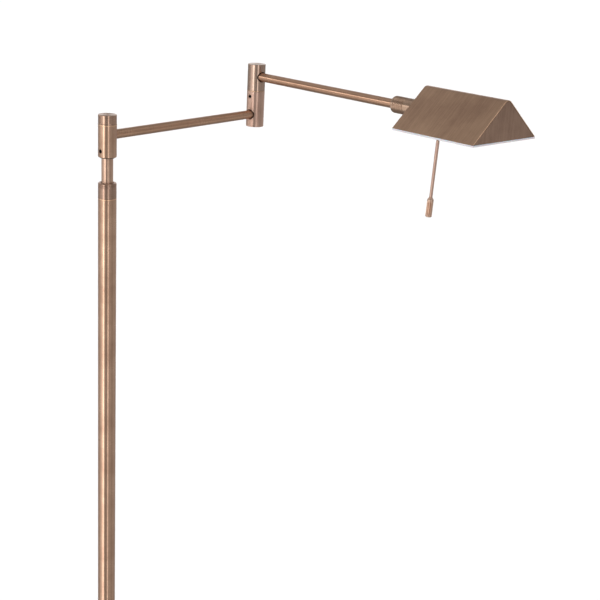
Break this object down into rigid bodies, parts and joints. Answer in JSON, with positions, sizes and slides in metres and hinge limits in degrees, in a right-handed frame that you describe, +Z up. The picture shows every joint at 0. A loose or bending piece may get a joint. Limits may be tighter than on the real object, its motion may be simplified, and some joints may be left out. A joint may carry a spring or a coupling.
{
  "type": "pharmacy floor lamp",
  "caption": "Free-standing reading lamp: weighted round base, telescopic pole, swinging arms and a folded metal shade with a hanging dimmer wand.",
  "frame": {"origin": "centre of the base's underside, on the pole's axis, at floor level", "axes": "+Z up along the pole; +X to the right and +Y away from the viewer of the reference view"},
  "size_m": [0.6816, 0.3945, 1.3385],
  "materials": {
    "bronze": "brushed antique bronze, lacquered",
    "bronze_polished": "fine turned antique bronze, semi-polished",
    "bronze_sheet": "brushed antique bronze sheet, satin lacquer",
    "steel": "turned, zinc plated",
    "black_oxide": "black oxide",
    "aluminium": "extruded, mill finish",
    "cast_iron": "as cast, blackened",
    "black_plastic": "moulded, satin",
    "rubber": "moulded, matt",
    "felt": "pressed felt",
    "opal": "opal acrylic, satin",
    "board": "white solder mask"
  },
  "bodies": {
    "stand": {"foot_pad": "felt", "base_weight": "cast_iron", "base_cover": "bronze", "base_nipple": "steel", "base_lock_washer": "steel", "base_lock_nut": "steel", "cable_grommet": "rubber", "pole_foot": "bronze", "pole_foot_plug": "steel", "outer_pole": "bronze", "pole_collar": "bronze", "guide_bush": "black_plastic"},
    "mast": {"inner_tube": "bronze", "lower_guide": "black_plastic", "hub_spigot": "steel", "hub_thrust_washer": "black_plastic", "mast_lead": "black_plastic"},
    "lower_arm": {"hub_body": "bronze", "hub_cap": "bronze", "hub_grub_screw": "black_oxide", "lower_arm_tube": "bronze", "lower_arm_lead": "black_plastic", "elbow_socket": "bronze", "elbow_grub_screw": "black_oxide", "elbow_thrust_washer": "bronze"},
    "upper_arm": {"elbow_head": "bronze_polished", "elbow_pivot": "steel", "upper_arm_tube": "bronze", "swivel_washer": "steel", "swivel_flange": "steel", "upper_arm_lead": "black_plastic"},
    "shade": {"shade_collar": "bronze", "collar_plug": "steel", "collar_lock_nut": "steel", "shade_cover": "bronze_sheet", "shade_end_inner": "bronze_sheet", "shade_end_outer": "bronze_sheet", "heat_sink": "aluminium", "led_board": "board", "dimmer_body": "black_plastic", "diffuser": "opal"},
    "dimmer": {"dimmer_shaft": "bronze", "wand_pin": "steel"},
    "wand": {"wand_hanger": "bronze", "wand_rod": "bronze", "wand_grip": "bronze"}
  },
  "joints": [
    {"name": "mast_height", "type": "slide", "parent": "stand", "child": "mast", "axis": [0, 0, 1], "range_m": [-0.033, 0.3]},
    {"name": "lower_arm_swing", "type": "hinge", "parent": "mast", "child": "lower_arm", "pos_m": [0, 0, 1.25], "axis": [0, 0, 1], "range_deg": [-170, 170]},
    {"name": "elbow_swing", "type": "hinge", "parent": "lower_arm", "child": "upper_arm", "pos_m": [0.18535, 0.23385, 1.306], "axis": [0, 0, 1], "range_deg": [-72, 267]},
    {"name": "shade_tilt", "type": "hinge", "parent": "upper_arm", "child": "shade", "pos_m": [0.41862, -0.0077, 1.306], "axis": [0.6947, -0.7193, 0], "range_deg": [-90, 90]},
    {"name": "dimmer_turn", "type": "hinge", "parent": "shade", "child": "dimmer", "pos_m": [0.43703, -0.02676, 1.276], "axis": [0, 0, 1], "range_deg": [0, 270]},
    {"name": "wand_swing", "type": "hinge", "parent": "dimmer", "child": "wand", "pos_m": [0.43703, -0.02676, 1.276], "axis": [0, 1, 0], "range_deg": [-25, 25]}
  ]
}
